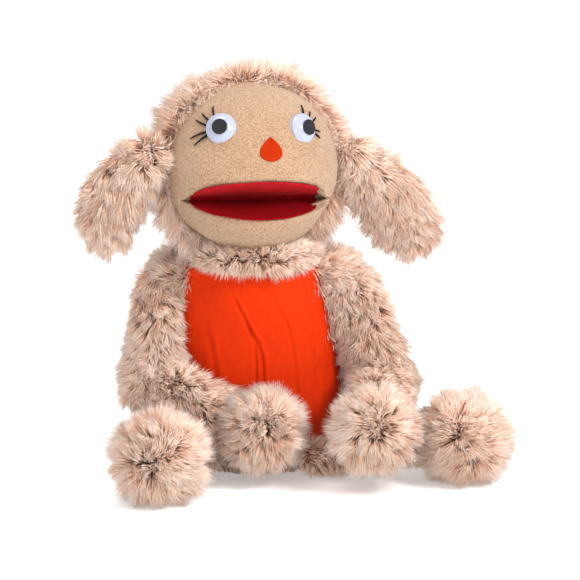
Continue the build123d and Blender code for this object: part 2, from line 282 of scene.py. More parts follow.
def tube(path, radii, sides=10):
    """A closed round tube along a path, with a radius at each point."""
    path = np.asarray(path, float)
    along = unit(np.gradient(path, axis=0))
    ref = np.array([0.0, 0.0, 1.0]) if abs(along[0][2]) < 0.9 else np.array([1.0, 0.0, 0.0])
    across = unit(np.cross(along, ref))
    up = np.cross(across, along)
    turn = np.arange(sides) * 2 * math.pi / sides
    ring = np.cos(turn)[None, :, None] * across[:, None, :] + np.sin(turn)[None, :, None] * up[:, None, :]
    points = path[:, None, :] + ring * np.asarray(radii)[:, None, None]
    rows = len(path)
    index = np.arange(rows * sides).reshape(rows, sides)
    nxt = np.roll(index, -1, axis=1)
    quads = np.stack([index[:-1], nxt[:-1], nxt[1:], index[1:]], axis=-1).reshape(-1, 4)
    points = np.concatenate([points.reshape(-1, 3), path[:1], path[-1:]])
    first = np.stack([index[0], np.full(sides, rows * sides), nxt[0]], axis=-1)
    last = np.stack([index[-1], nxt[-1], np.full(sides, rows * sides + 1)], axis=-1)
    return points, [quads, np.concatenate([first, last])]


# ---------------------------------------------------------------- materials
def new_material(name):
    mat = bpy.data.materials.new(name)
    mat.use_nodes = True
    tree = mat.node_tree
    return mat, tree, tree.nodes["Principled BSDF"]


def add_node(tree, kind, **inputs):
    """A shader node with some of its inputs set or linked. Double underscores stand for spaces."""
    made = tree.nodes.new(kind)
    for key, value in inputs.items():
        socket = made.inputs[int(key[1:])] if key[0] == "_" else made.inputs[key.replace("__", " ")]
        if isinstance(value, bpy.types.NodeSocket):
            tree.links.new(value, socket)
        else:
            socket.default_value = value
    return made


def ramp(tree, value, stops):
    """A colour ramp on a value, from a list of (place, colour)."""
    made = add_node(tree, "ShaderNodeValToRGB", Fac=value)
    line = made.color_ramp
    while len(line.elements) < len(stops):
        line.elements.new(0.5)
    for element, (place, colour) in zip(line.elements, stops):
        element.position = place
        element.color = (*colour, 1)
    return made.outputs["Color"]


def mix_colour(tree, mode, share, a, b):
    made = tree.nodes.new("ShaderNodeMix")
    made.data_type = "RGBA"
    made.blend_type = mode
    for socket, value in ((made.inputs[0], share), (made.inputs[6], a), (made.inputs[7], b)):
        if isinstance(value, bpy.types.NodeSocket):
            tree.links.new(value, socket)
        else:
            socket.default_value = value if not isinstance(value, tuple) else (*value, 1)[:4]
    return made.outputs[2]


def math_node(tree, operation, a, b=0.5, c=0.5):
    made = tree.nodes.new("ShaderNodeMath")
    made.operation = operation
    for socket, value in zip(made.inputs, (a, b, c)):
        if isinstance(value, bpy.types.NodeSocket):
            tree.links.new(value, socket)
        else:
            socket.default_value = value
    return made.outputs[0]


def vary_roughness(tree, shader, value, share, base):
    """Roughness that follows a value: its share of it on top of a base."""
    tree.links.new(math_node(tree, "MULTIPLY_ADD", value, share, base), shader.inputs["Roughness"])


def fur_material():
    """Long pile in pinkish cream: painted shade darkens each strand to brown towards its root, painted light
    brightens its tip, and each strand has its own tone.
    """
    mat, tree, shader = new_material("long_pile_fur")
    place = tree.nodes.new("ShaderNodeUVMap")
    place.uv_map = "OFBake"
    parts = add_node(tree, "ShaderNodeSeparateXYZ", Vector=place.outputs[0])
    # Along each strand: painted shade of the pile's depths, brown at the roots, up to painted light, pale
    # cream at the tips.
    body = ramp(tree, parts.outputs["Y"], [
        (0.0, (0.42, 0.21, 0.12)),
        (0.2, (0.80, 0.51, 0.35)),
        (0.5, (1.0, 0.77, 0.62)),
        (1.0, (1.0, 0.92, 0.87)),
    ])
    shade = ramp(tree, parts.outputs["X"], [
        (0.0, (0.58, 0.35, 0.25)),
        (0.35, (0.86, 0.70, 0.60)),
        (0.7, (0.96, 0.90, 0.86)),
        (1.0, (1.0, 1.0, 1.0)),
    ])
    colour = mix_colour(tree, "MULTIPLY", 1.0, body, shade)
    tree.links.new(colour, shader.inputs["Base Color"])
    vary_roughness(tree, shader, parts.outputs["X"], 0.2, 0.6)
    shader.inputs["Specular IOR Level"].default_value = 0.25
    shader.inputs["Sheen Weight"].default_value = 0.25
    shader.inputs["Sheen Roughness"].default_value = 0.5
    return mat


def fleece_material():
    """Short curly terry fleece: tiny tan and cream loops."""
    mat, tree, shader = new_material("terry_fleece")
    where = tree.nodes.new("ShaderNodeTexCoord").outputs["Object"]
    wobble = add_node(tree, "ShaderNodeTexNoise", Vector=where, Scale=260.0, Detail=3.0)
    moved = add_node(tree, "ShaderNodeVectorMath", _0=where)
    moved.operation = "MULTIPLY_ADD"
    moved.inputs[1].default_value = (1, 1, 1)
    shift = add_node(tree, "ShaderNodeVectorMath", _0=wobble.outputs["Color"])
    shift.operation = "SCALE"
    shift.inputs["Scale"].default_value = 0.004
    tree.links.new(shift.outputs[0], moved.inputs[2])
    loops = add_node(tree, "ShaderNodeTexVoronoi", Vector=moved.outputs[0], Scale=620.0)
    fine = add_node(
        tree, "ShaderNodeTexNoise", Vector=moved.outputs[0], Scale=900.0, Detail=4.0, Roughness=0.7
    )
    broad = add_node(tree, "ShaderNodeTexNoise", Vector=where, Scale=30.0, Detail=2.0)
    height = math_node(tree, "MULTIPLY_ADD", loops.outputs["Distance"], -0.6, fine.outputs["Fac"])
    colour = ramp(tree, height, [
        (0.0, (0.40, 0.225, 0.115)),
        (0.32, (0.59, 0.38, 0.24)),
        (0.62, (0.76, 0.54, 0.375)),
        (1.0, (0.94, 0.75, 0.59)),
    ])
    patch = ramp(tree, broad.outputs["Fac"], [(0.3, (0.93, 0.9, 0.86)), (0.7, (1.0, 1.0, 1.0))])
    colour = mix_colour(tree, "MULTIPLY", 1.0, colour, patch)
    tree.links.new(colour, shader.inputs["Base Color"])
    bump = add_node(tree, "ShaderNodeBump", Height=height, Strength=1.0, Distance=0.0015)
    tree.links.new(bump.outputs[0], shader.inputs["Normal"])
    vary_roughness(tree, shader, fine.outputs["Fac"], 0.2, 0.75)
    shader.inputs["Specular IOR Level"].default_value = 0.2
    shader.inputs["Sheen Weight"].default_value = 0.3
    return mat


def woven_material(name, colour, dark, pitch, sheen=0.15):
    """Plain woven cloth: crossing threads with small slubs."""
    mat, tree, shader = new_material(name)
    where = tree.nodes.new("ShaderNodeTexCoord").outputs["Object"]
    warp = add_node(tree, "ShaderNodeTexWave", Vector=where, Scale=1 / pitch / 2, Distortion=0.6, Detail=1.0)
    warp.bands_direction = "X"
    weft = add_node(tree, "ShaderNodeTexWave", Vector=where, Scale=1 / pitch / 2, Distortion=0.6, Detail=1.0)
    weft.bands_direction = "Z"
    weave = math_node(tree, "MULTIPLY", warp.outputs["Fac"], weft.outputs["Fac"])
    slub = add_node(tree, "ShaderNodeTexNoise", Vector=where, Scale=220.0, Detail=4.0)
    broad = add_node(tree, "ShaderNodeTexNoise", Vector=where, Scale=18.0, Detail=3.0)
    height = math_node(tree, "MULTIPLY_ADD", slub.outputs["Fac"], 0.5, weave)
    body = ramp(tree, height, [(0.1, dark), (0.75, colour)])
    patch = ramp(tree, broad.outputs["Fac"], [(0.3, (0.9, 0.86, 0.84)), (0.75, (1.0, 1.0, 1.0))])
    tree.links.new(mix_colour(tree, "MULTIPLY", 0.8, body, patch), shader.inputs["Base Color"])
    bump = add_node(tree, "ShaderNodeBump", Height=height, Strength=0.35, Distance=0.0003)
    tree.links.new(bump.outputs[0], shader.inputs["Normal"])
    vary_roughness(tree, shader, slub.outputs["Fac"], 0.15, 0.72)
    shader.inputs["Specular IOR Level"].default_value = 0.1
    shader.inputs["Sheen Weight"].default_value = sheen
    return mat


def velour_material(name, colour, dark):
    """Short dense pile that shifts in tone where it is brushed."""
    mat, tree, shader = new_material(name)
    where = tree.nodes.new("ShaderNodeTexCoord").outputs["Object"]
    pile = add_node(tree, "ShaderNodeTexNoise", Vector=where, Scale=1100.0, Detail=3.0)
    brushed = add_node(tree, "ShaderNodeTexNoise", Vector=where, Scale=70.0, Detail=3.0, Distortion=0.8)
    tone = math_node(tree, "MULTIPLY_ADD", pile.outputs["Fac"], 0.35, brushed.outputs["Fac"])
    tree.links.new(ramp(tree, tone, [(0.35, dark), (0.95, colour)]), shader.inputs["Base Color"])
    bump = add_node(tree, "ShaderNodeBump", Height=pile.outputs["Fac"], Strength=0.4, Distance=0.0004)
    tree.links.new(bump.outputs[0], shader.inputs["Normal"])
    vary_roughness(tree, shader, pile.outputs["Fac"], 0.15, 0.75)
    shader.inputs["Specular IOR Level"].default_value = 0.06
    shader.inputs["Sheen Weight"].default_value = 0.06
    shader.inputs["Sheen Roughness"].default_value = 0.4
    shader.inputs["Sheen Tint"].default_value = (1, 0.25, 0.2, 1)
    return mat


def plastic_material(name, colour, rough, speck):
    """Moulded plastic with a faint unevenness in tone and gloss."""
    mat, tree, shader = new_material(name)
    where = tree.nodes.new("ShaderNodeTexCoord").outputs["Object"]
    cloud = add_node(tree, "ShaderNodeTexNoise", Vector=where, Scale=90.0, Detail=3.0)
    low = tuple(c * (1 - speck) for c in colour)
    tone = ramp(tree, cloud.outputs["Fac"], [(0.3, low), (0.7, colour)])
    tree.links.new(tone, shader.inputs["Base Color"])
    vary_roughness(tree, shader, cloud.outputs["Fac"], 0.12, rough)
    grain = add_node(tree, "ShaderNodeTexNoise", Vector=where, Scale=700.0)
    bump = add_node(tree, "ShaderNodeBump", Height=grain.outputs["Fac"], Strength=0.05, Distance=0.0002)
    tree.links.new(bump.outputs[0], shader.inputs["Normal"])
    return mat


def thread_material(name, colour, dark, pitch):
    """Satin stitch: fine parallel threads with a soft shine."""
    mat, tree, shader = new_material(name)
    where = tree.nodes.new("ShaderNodeTexCoord").outputs["Object"]
    threads = add_node(
        tree, "ShaderNodeTexWave", Vector=where, Scale=1 / pitch / 2, Distortion=1.2, Detail=2.0
    )
    threads.bands_direction = "Z"
    tone = ramp(tree, threads.outputs["Fac"], [(0.1, dark), (0.8, colour)])
    tree.links.new(tone, shader.inputs["Base Color"])
    bump = add_node(tree, "ShaderNodeBump", Height=threads.outputs["Fac"], Strength=0.5, Distance=0.0003)
    tree.links.new(bump.outputs[0], shader.inputs["Normal"])
    vary_roughness(tree, shader, threads.outputs["Fac"], -0.15, 0.7)
    shader.inputs["Specular IOR Level"].default_value = 0.06
    return mat


FUR = fur_material()
FLEECE = fleece_material()
ORANGE = woven_material("orange_cotton", (0.78, 0.044, 0.001), (0.54, 0.016, 0.0), 0.0007, 0.0)
LINING = woven_material("lining_cotton", (0.74, 0.68, 0.6), (0.5, 0.44, 0.38), 0.0007)
RED = velour_material("red_velour", (0.46, 0.008, 0.014), (0.31, 0.003, 0.007))
# A darker copy of the red velour: painted shade, for the lower lining and the fold, which lie in the mouth's
# shadow.
SHADED_RED_VELOUR = velour_material("dark_red_velour", (0.27, 0.0005, 0.006), (0.16, 0.0, 0.002))
WHITE = plastic_material("white_plastic", (0.40, 0.43, 0.54), 0.08, 0.04)
BLACK = plastic_material("black_plastic", (0.012, 0.012, 0.016), 0.22, 0.4)
NYLON = plastic_material("nylon", (0.72, 0.72, 0.7), 0.4, 0.08)
BOARD = plastic_material("board", (0.55, 0.54, 0.5), 0.6, 0.15)
STITCH = thread_material("orange_thread", (0.53, 0.032, 0.0), (0.34, 0.014, 0.0), 0.0009)
LASH = thread_material("black_thread", (0.02, 0.02, 0.025), (0.004, 0.004, 0.005), 0.0006)


def dress(piece, material):
    """Gives a piece its material."""
    piece.data.materials.clear()
    piece.data.materials.append(material)


def place(piece, material, slot, body, *stands_for):
    """Dresses a piece, fixes it to its body, and hides the CAD nodes that it stands for."""
    dress(piece, material)
    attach(piece, body)
    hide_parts(*stands_for)


# ---------------------------------------------------------------- fur
# Where a strand's rings of corners are along it, and how wide they are there
STRAND_RINGS = np.array([0.0, 0.48])
STRAND_WIDTHS = np.array([1.0, 0.8])
TUFT_GAP = 5.5 * MM
TUFT_WILD = 0.34
# How far a strand's start and end follow their tuft's
START_WITH_TUFT = 0.4
END_WITH_TUFT = 0.5


def scatter(points, faces, count, rng, keep=None):
    """Even random points on a surface, with their normals."""
    faces = np.asarray(faces)
    if faces.shape[1] == 4:
        faces = np.concatenate([faces[:, [0, 1, 2]], faces[:, [0, 2, 3]]])
    a, b, c = points[faces[:, 0]], points[faces[:, 1]], points[faces[:, 2]]
    area = np.linalg.norm(np.cross(b - a, c - a), axis=1)
    if keep is not None:
        area = area * keep((a + b + c) / 3)
    pick = rng.choice(len(faces), count, p=area / area.sum())
    u, v = rng.random(count), rng.random(count)
    flip = u + v > 1
    u, v = np.where(flip, 1 - u, u)[:, None], np.where(flip, 1 - v, v)[:, None]
    where = a[pick] * (1 - u - v) + b[pick] * u + c[pick] * v
    n = normals_of(points, faces)
    at = n[faces[pick, 0]] * (1 - u - v) + n[faces[pick, 1]] * u + n[faces[pick, 2]] * v
    return where, unit(at)


def surface_area(points, faces, keep=None):
    """The area of a surface, or of the part of it that is kept."""
    a, b, c = (points[np.asarray(faces)[:, k]] for k in (0, 1, 2))
    area = np.linalg.norm(np.cross(b - a, c - a), axis=1) / (2 if np.asarray(faces).shape[1] == 3 else 1)
    return (area * keep((a + b + c) / 3)).sum() if keep else area.sum()


def nearest(points, centres):
    """Which centre is nearest to each point."""
    out = np.empty(len(points), int)
    for start in range(0, len(points), 4000):
        part = points[start:start + 4000]
        out[start:start + 4000] = ((part[:, None] - centres[None]) ** 2).sum(-1).argmin(1)
    return out


def strands(points, faces, count, length, flow, seed, lift=1.0, droop=0.2,
            clump=0.34, width=0.95 * MM, wild=0.27, keep=None, stretch=lambda at: 1.0):
    """Tapered three-sided strands that gather into tufts. Returns points, faces and map places."""
    rng = np.random.default_rng(seed)
    root, normal = scatter(points, faces, count, rng, keep)
    tufts = int(surface_area(points, faces, keep) / TUFT_GAP ** 2) + 12
    middle, middle_normal = scatter(points, faces, tufts, rng, keep)

    def headings(at, n, wildness):
        swirl = noise_vectors(at, 0.028, seed + 11) * 0.45
        wild = rng.normal(0, wildness, at.shape)
        first = unit(n * lift + flow(at, n) + swirl + wild)
        last = unit(first + flow(at, n) * 0.6 + swirl + np.array([0, 0, -droop]) + wild * 0.8)
        return first, last

    first, last = headings(root, normal, wild)
    tuft_first, tuft_last = headings(middle, middle_normal, TUFT_WILD)
    owner = nearest(root, middle)
    first = unit(first * (1 - START_WITH_TUFT) + tuft_first[owner] * START_WITH_TUFT)
    last = unit(last * (1 - END_WITH_TUFT) + tuft_last[owner] * END_WITH_TUFT)
    tuft_reach = length * rng.uniform(0.74, 1.12, tufts) * stretch(middle)
    reach = tuft_reach[owner] * rng.uniform(0.68, 1.1, count)
    hold = clump * rng.uniform(0.55, 1.1, count)
    waist = unit(np.cross(first, rng.normal(0, 1, first.shape)))
    cross = np.cross(waist, first)
    thick = width * rng.uniform(0.6, 1.25, count) / 2
    rings = []
    for s, share in zip(np.append(STRAND_RINGS, 1.0), np.append(STRAND_WIDTHS, 0.0)):
        own = root + reach[:, None] * (first * (s - s * s / 2) + last * s * s / 2)
        lead = middle[owner] + tuft_reach[owner][:, None] * (
            tuft_first[owner] * (s - s * s / 2) + tuft_last[owner] * s * s / 2
        )
        pull = (hold * s ** 1.25)[:, None]
        at = own * (1 - pull) + lead * pull
        if share == 0:
            rings.append(at[:, None, :])
            continue
        turn = np.arange(3) * 2 * math.pi / 3
        ring = np.cos(turn)[None, :, None] * waist[:, None] + np.sin(turn)[None, :, None] * cross[:, None]
        rings.append(at[:, None, :] + ring * (thick * share)[:, None, None])
    co = np.concatenate(rings, axis=1)
    each = co.shape[1]
    base = (np.arange(count) * each)[:, None, None]
    bands = len(STRAND_RINGS) - 1
    quads = np.array([
        [3 * r + k, 3 * r + (k + 1) % 3, 3 * r + 3 + (k + 1) % 3, 3 * r + 3 + k]
        for r in range(bands)
        for k in range(3)
    ])
    tips = np.array([[3 * bands + k, 3 * bands + (k + 1) % 3, each - 1] for k in range(3)] + [[2, 1, 0]])
    tone = rng.normal(0, 0.12, tufts)[owner] + rng.normal(0, 0.26, count)
    shade = np.clip(0.55 + 0.2 * noise(root, 0.035, seed + 3) + tone, 0.01, 0.99)
    along = np.concatenate([np.repeat(STRAND_RINGS, 3), [1.0]])
    uv = np.stack([
        np.repeat(shade[:, None], each, axis=1),
        np.repeat((0.03 + 0.94 * along)[None], count, axis=0),
    ], axis=-1)
    return (
        co.reshape(-1, 3),
        [(quads[None] + base).reshape(-1, 4), (tips[None] + base).reshape(-1, 3)],
        uv.reshape(-1, 2),
    )


def furry(name, body, skin, pile, flow, seed, stands_for, **look):
    """A fur piece: its backing skin and all its strands, as one mesh on one body."""
    points, faces = skin
    count, length = PILE[pile]
    hair, hair_faces, hair_uv = strands(points, faces, count, length, flow, seed, **look)
    hair[:, 2] = np.maximum(hair[:, 2], FLOOR_GAP)
    middle = points.mean(0)
    around = np.arctan2(points[:, 1] - middle[1], points[:, 0] - middle[0]) / (2 * math.pi) + 0.5
    skin_uv = np.stack([np.clip(around, 0.02, 0.98), np.full(len(points), 0.01)], axis=-1)
    faces_all = [np.asarray(faces)] + [f + len(points) for f in hair_faces]
    piece = make_mesh(name, np.concatenate([points, hair]), faces_all, np.concatenate([skin_uv, hair_uv]))
    place(piece, FUR, "fur", body, *stands_for)


# ---------------------------------------------------------------- head: fleece
def fold_place(p):
    """Forward and upward distance of head points from the mouth's fold."""
    return FOLD_OFFSET[1] - p[..., 1], p[..., 2] - FOLD_OFFSET[2]


def above(p, angle, offset):
    """Negative above a plane that leaves the fold at an angle, shifted along its normal."""
    forward, up = fold_place(p)
    return forward * np.sin(angle) - up * np.cos(angle) + offset


LINING_TOP = 3.0 * MM
HEAD_BACK_ANGLE = math.radians(-118)
CHIN_BACK_ANGLE = math.radians(-92)
UPPER_CHEEK = math.radians(8.8)
LOWER_CHEEK = math.radians(7.5)
MOUTH_DEPTH = 71 * MM
ROUNDING = 4.5 * MM


def cheek_share(p, angle, power):
    """0 over the mouth's plates, 1 at the cheeks outside their corners, where the fleece closes."""
    forward, up = fold_place(p)
    along = np.maximum(forward * math.cos(angle) + up * math.sin(angle), 0)
    side = np.abs(p[..., 0] - MOUTH_SHIFT)
    share = ((side / MOUTH_HALF_W) ** power + (along / MOUTH_DEPTH) ** power) ** (1 / power)
    return step(share, 1.0, 1.08) * step(side, 30 * MM, 50 * MM)


def face_field(p):
    """The head's ball, less the open mouth and the throat below it."""
    ball = np.linalg.norm(p, axis=-1) - BALL_R
    cheek = cheek_share(p, UPPER_ANGLE, UPPER_POWER)
    upper = above(p, UPPER_ANGLE + (UPPER_CHEEK - UPPER_ANGLE) * cheek, LINING_TOP * (1 - cheek))
    throat = -above(p, HEAD_BACK_ANGLE, 0.0)
    return smooth_max(ball, smooth_min(upper, throat, 4 * MM), ROUNDING * (1 - 0.6 * cheek))


def chin_field(p):
    """The lower jaw: the ball below the mouth and in front of the throat."""
    side = np.abs(p[..., 0])
    ball = np.linalg.norm(p, axis=-1) - BALL_R + 1.2 * MM * step(side, 52 * MM, 72 * MM)
    cheek = cheek_share(p, LOWER_ANGLE, LOWER_POWER)
    lower = -above(p, LOWER_ANGLE + (LOWER_CHEEK - LOWER_ANGLE) * cheek, -LINING_TOP * (1 - cheek))
    back = above(p, CHIN_BACK_ANGLE, 0.0)
    seam = np.exp(-(((p[..., 0] - 6 * MM) / (5 * MM)) ** 2))
    pucker = 0.9 * MM * seam * step(-p[..., 2], 45 * MM, 75 * MM)
    return smooth_max(smooth_max(ball + pucker, lower, ROUNDING * (1 - 0.6 * cheek)), back, 3 * MM)


def fleece_piece(name, field, centre, body, stands_for):
    points, faces = blob(centre, field, 7)
    points = roughen(points, faces, 26 * MM, 0.55 * MM, 3)
    points = roughen(points, faces, 3.2 * MM, 0.28 * MM, 4)
    piece = make_mesh(name, from_head(points), [faces])
    place(piece, FLEECE, "fleece", body, *stands_for)


fleece_piece("face_ball", face_field, np.array([0, -10, 25]) * MM, "head", ["face_panel", "head_stuffing"])
fleece_piece("chin_ball", chin_field, np.array([0, -52, -52]) * MM, "jaw", ["chin_panel", "chin_stuffing"])


def fold_ray(x, angle, radius):
    """Where a ray from the fold, at an angle above forward, meets a ball of some radius."""
    fy, fz = -FOLD_OFFSET[1], FOLD_OFFSET[2]
    along = fy * np.cos(angle) + fz * np.sin(angle)
    reach = -along + np.sqrt(np.maximum(along ** 2 - (fy ** 2 + fz ** 2) + radius ** 2 - x ** 2, 0))
    return np.stack([x, -(fy + reach * np.cos(angle)), fz + reach * np.sin(angle)], axis=-1)


def throat_gusset():
    """The fleece that closes the throat between head and jaw."""
    x, angle = np.meshgrid(np.linspace(-74, 74, 60) * MM, np.radians(np.linspace(-126, -84, 24)))
    outer = fold_ray(x, angle, BALL_R - 1.4 * MM)
    inner = fold_ray(x, angle, BALL_R - 3.6 * MM)
    points, faces = grid_shell(outer, inner)
    piece = make_mesh("throat_gusset", from_head(points), [faces])
    dress(piece, FLEECE)
    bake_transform(piece)


throat_gusset()


# ---------------------------------------------------------------- head: mouth, nose, lashes
def pad(outline, profile):
    """Rings shrunk from an outline: a closed pad, as plane places and heights, and its faces."""
    middle = outline.mean(0)
    rows = np.array([middle + (outline - middle) * t for t, _ in profile])
    heights = np.array([np.full(len(outline), h) for _, h in profile])
    count = len(outline)
    index = np.arange(len(profile) * count).reshape(len(profile), count)
    nxt = np.roll(index, -1, axis=1)
    quads = np.stack([index[:-1], index[1:], nxt[1:], nxt[:-1]], axis=-1).reshape(-1, 4)
    flat = np.concatenate([rows.reshape(-1, 2), middle[None], middle[None]])
    height = np.concatenate([heights.ravel(), [profile[0][1]], [profile[-1][1]]])
    top = np.stack([np.full(count, len(flat) - 2), index[0], nxt[0]], axis=-1)
    bottom = np.stack([index[-1], np.full(count, len(flat) - 1), nxt[-1]], axis=-1)
    return flat, height, [quads, np.concatenate([top, bottom])]


def mouth_lining(name, angle, side, material, slot, body, stands_for):
    """A D-shaped velour plate whose rim just shows at the fleece's edge. side is 1 above, -1 below."""
    power = UPPER_POWER if side > 0 else LOWER_POWER
    u = MOUTH_HALF_W * np.sin(np.linspace(-math.pi / 2, math.pi / 2, 121))
    along = -FOLD_OFFSET[1] * math.cos(angle) + FOLD_OFFSET[2] * math.sin(angle)
    apart = abs(FOLD_OFFSET[2] * math.cos(angle) + FOLD_OFFSET[1] * math.sin(angle))
    rim = math.sqrt(BALL_R ** 2 - (apart - side * 2 * MM) ** 2)
    round_edge = np.sqrt(np.maximum((rim + 1.6 * MM) ** 2 - u ** 2, 0)) - along
    depth = round_edge.max()
    square_edge = depth * (1 - (np.abs(u) / MOUTH_HALF_W) ** power) ** (1 / power)
    v = np.minimum(round_edge, square_edge)
    front = np.stack([u, v], axis=-1)
    front[:, 1] += 0.5 * MM * noise(np.stack([u, u * 0, u * 0], axis=-1), 7 * MM, 31 + side) * (v > 4 * MM)
    back = np.stack([np.linspace(MOUTH_HALF_W, -MOUTH_HALF_W, 60)[1:-1], np.full(58, 0.6 * MM)], axis=-1)
    outline = np.concatenate([front, back])
    thick = 2.4 * MM
    crown = [(t, thick * (0.5 - 0.10 * t)) for t in np.linspace(0.04, 0.96, 26)]
    edge = [(0.985, thick * 0.3), (1.0, 0.0), (0.985, -thick * 0.3)]
    sole = [(t, -thick * 0.4) for t in np.linspace(0.96, 0.04, 26)]
    flat, height, faces = pad(outline, crown + edge + sole)
    where = np.column_stack([flat, np.zeros(len(flat))])
    height = height + 0.35 * MM * noise(where, 9 * MM, 41 + side)
    height = height + 0.5 * MM * noise(where, 24 * MM, 51 + side)
    lift = side * (0.6 * MM + thick / 2) + height
    forward = flat[:, 1] * math.cos(angle) - lift * math.sin(angle)
    up = flat[:, 1] * math.sin(angle) + lift * math.cos(angle)
    points = np.stack([flat[:, 0] + MOUTH_SHIFT, FOLD_OFFSET[1] - forward, FOLD_OFFSET[2] + up], axis=-1)
    piece = make_mesh(name, from_head(points), faces)
    place(piece, material, slot, body, stands_for)


def mouth_fold():
    """The velour rolled over the hinge tape, where the upper and lower linings run together; its darker red
    is painted shade.
    """
    x = np.linspace(-MOUTH_HALF_W + 2 * MM, MOUTH_HALF_W - 2 * MM, 60) + MOUTH_SHIFT
    path = np.stack([x, np.full(60, FOLD_OFFSET[1] - 0.4 * MM), np.full(60, FOLD_OFFSET[2])], axis=-1)
    points, faces = tube(from_head(path), np.full(60, 2.4 * MM), 20)
    piece = make_mesh("mouth_fold", points, faces)
    place(piece, SHADED_RED_VELOUR, "dark_red_velour", "head", "mouth_hinge_tape")


mouth_fold()
mouth_lining("upper_lining", UPPER_ANGLE, 1, RED, "red_velour", "head", "upper_mouth_lining")
# The lower lining's darker red velour is painted shade under the upper jaw.
mouth_lining("lower_lining", LOWER_ANGLE, -1, SHADED_RED_VELOUR, "dark_red_velour", "jaw", "lower_mouth_lining")


def tangent_frame(seat):
    """Rightward and upward directions on the ball at a seat, and outward."""
    out = unit(seat)
    across = unit(np.array([1.0, 0, 0]) - out * out[0])
    return across, np.cross(out, across), out


def on_surface(seat, u, v, radius):
    """Points laid on the ball round a seat, at plane places u and v."""
    across, up, out = tangent_frame(seat)
    u, v = np.asarray(u), np.asarray(v)
    return unit(out * BALL_R + across * u[..., None] + up * v[..., None]) * np.asarray(radius)[..., None]


def nose():
    """A raised satin-stitched nose: a teardrop with its blunt point up."""
    turn = np.linspace(0, 2 * math.pi, 121)[:-1]
    width = np.sin(turn) * np.sin(turn / 2) ** 0.9
    outline = np.stack([width / width.max() * NOSE_W / 2, NOSE_H / 2 * np.cos(turn)], axis=-1)
    profile = [(t, NOSE_T + 1.3 * MM * (1 - t ** 2)) for t in np.linspace(0.04, 0.94, 22)]
    profile += [(0.985, NOSE_T * 0.75), (1.0, NOSE_T * 0.3), (1.0, -1.0 * MM), (0.5, -1.0 * MM)]
    flat, height, faces = pad(outline, profile)
    ridges = 0.22 * MM * np.sin(flat[:, 0] / (1.1 * MM) * 2 * math.pi) * (height > 0.9 * MM)
    seat = on_ball(NOSE_YAW, NOSE_RISE, 1.0)
    points = on_surface(seat, flat[:, 0], flat[:, 1], BALL_R + height + ridges)
    piece = make_mesh("stitched_nose", from_head(points), faces)
    place(piece, STITCH, "orange_thread", "head", "nose")


nose()

LASH_ROOT = 14.5 * MM
LASH_ROOT_TURNS = {"right": (20, 44, 64, 88, 104), "left": (14, 38, 56, 86, 102)}
LASH_TIPS = {
    "right": ((11, 31), (36, 33), (52, 35), (87, 37), (104, 34)),
    "left": ((12, 31.5), (34, 30), (50, 31), (85, 25), (103, 24)),
}


def lash_group(side, sign):
    """Five stitched lashes fanned over the top and outside of an eye."""
    seat = on_ball(sign * EYE_YAW[sign], EYE_RISE, 1.0)
    points, quads, ends, total = [], [], [], 0
    for root, (tip, reach) in zip(LASH_ROOT_TURNS[side], LASH_TIPS[side]):
        s = np.linspace(0, 1, 14)
        angle = np.radians(90 - sign * (root + (tip - root) * s ** 0.8))
        reach = LASH_ROOT + (reach * MM - LASH_ROOT) * s
        radius = BALL_R + 0.9 * MM + 0.5 * MM * np.sin(s * math.pi)
        path = on_surface(seat, reach * np.cos(angle), reach * np.sin(angle), radius)
        thickness = MM * (1.15 - 0.55 * s ** 1.5)
        co, (sides, caps) = tube(from_head(path), thickness, 10)
        points.append(co)
        quads.append(sides + total)
        ends.append(caps + total)
        total += len(co)
    faces = [np.concatenate(quads), np.concatenate(ends)]
    piece = make_mesh(f"{side}_lash_stitches", np.concatenate(points), faces)
    place(piece, LASH, "black_thread", "head", f"{side}_lashes")


lash_group("right", -1)
lash_group("left", 1)


# ---------------------------------------------------------------- head: fur hood, ears, collar
def hood():
    """The long fur round the back, top and sides of the head, in a left and a right half."""
    level = np.radians(np.linspace(2, 93, 46))
    turn = np.radians(np.linspace(-90, 90, 50))
    back = HEAD_TURN @ np.array([0, 1.0, 0])
    down = np.array([0, 0, -1.0])

    def flow(at, n):
        edge = (1 - step(to_head(at)[..., 1] - HOOD_EDGE_Y, -2 * MM, 22 * MM))[:, None]
        low = step(-to_head(at)[..., 2:3], -20 * MM, 50 * MM)
        return back * (0.4 - 0.75 * edge) + down * (0.12 + 0.5 * low)

    def stretch(at):
        local = to_head(at)
        longer_below = 1 + 0.3 * step(-local[..., 2], -20 * MM, 50 * MM)
        return longer_below * (1 - 0.32 * step(local[..., 1], 20 * MM, 65 * MM))

    for name, sign in (("hood_right", -1), ("hood_left", 1)):
        a, t = np.meshgrid(level, turn, indexing="ij")
        ray = np.stack([sign * np.sin(a) * np.cos(t), np.cos(a), np.sin(a) * np.sin(t)], axis=-1)
        shift = np.array([0, HOOD_EDGE_Y, 0])
        radius = 88.5 - 2.4 * step(a, math.radians(78), math.radians(92))
        outer = from_head(ray * radius[..., None] * MM + shift)
        inner = from_head(ray * 86.8 * MM + shift)
        points, faces = grid_shell(outer, inner)
        faces = turned(points, faces, points - HEAD_CENTRE)

        def keep(at):
            local = to_head(at)
            facing = np.einsum("...i,...i->...", local - shift, local - shift) ** 0.5
            edge = 1 - step(local[..., 1] - HOOD_EDGE_Y, 0, 12 * MM)
            outside = facing > (87.6 - 1.6 * edge) * MM
            return outside * (local[..., 2] > -72 * MM) * (1 + 1.6 * edge)

        stands = ["hood_fur"] if sign < 0 else []
        furry(name, "head", (points, faces), "hood", flow, 101 + sign, stands, keep=keep, stretch=stretch)


hood()


